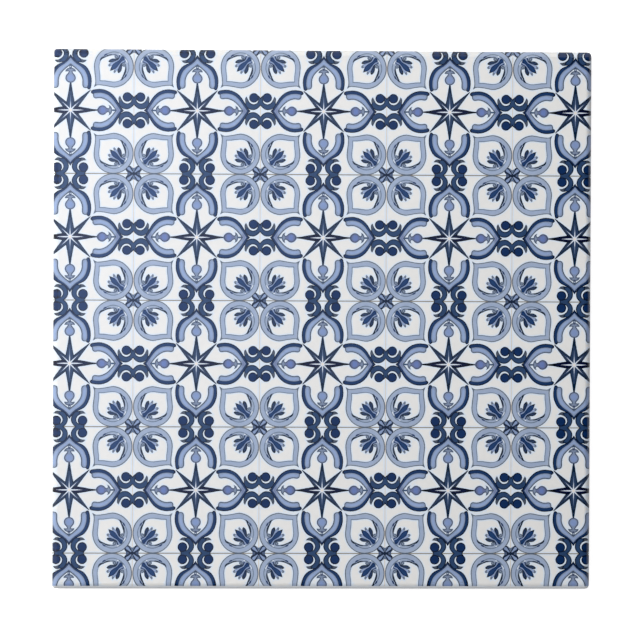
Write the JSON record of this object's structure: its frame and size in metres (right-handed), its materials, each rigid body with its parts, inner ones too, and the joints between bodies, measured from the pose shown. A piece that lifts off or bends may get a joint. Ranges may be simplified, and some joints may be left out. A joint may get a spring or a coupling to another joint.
{
  "type": "glazed ceramic wall tile",
  "caption": "Square glazed ceramic wall tile with rolled edges, a ribbed back and a blue and white ornamental repeat under a glossy glaze.",
  "frame": {"origin": "centre of the tile's back, in the plane of its ribs and border, which it lies on", "axes": "+Z out of the glazed face, +Y towards the top of the face's pattern, +X to the pattern's right"},
  "size_m": [0.108, 0.108, 0.006],
  "materials": {
    "tile": "gloss"
  },
  "bodies": {
    "root": {"tile": "tile"}
  },
  "joints": []
}
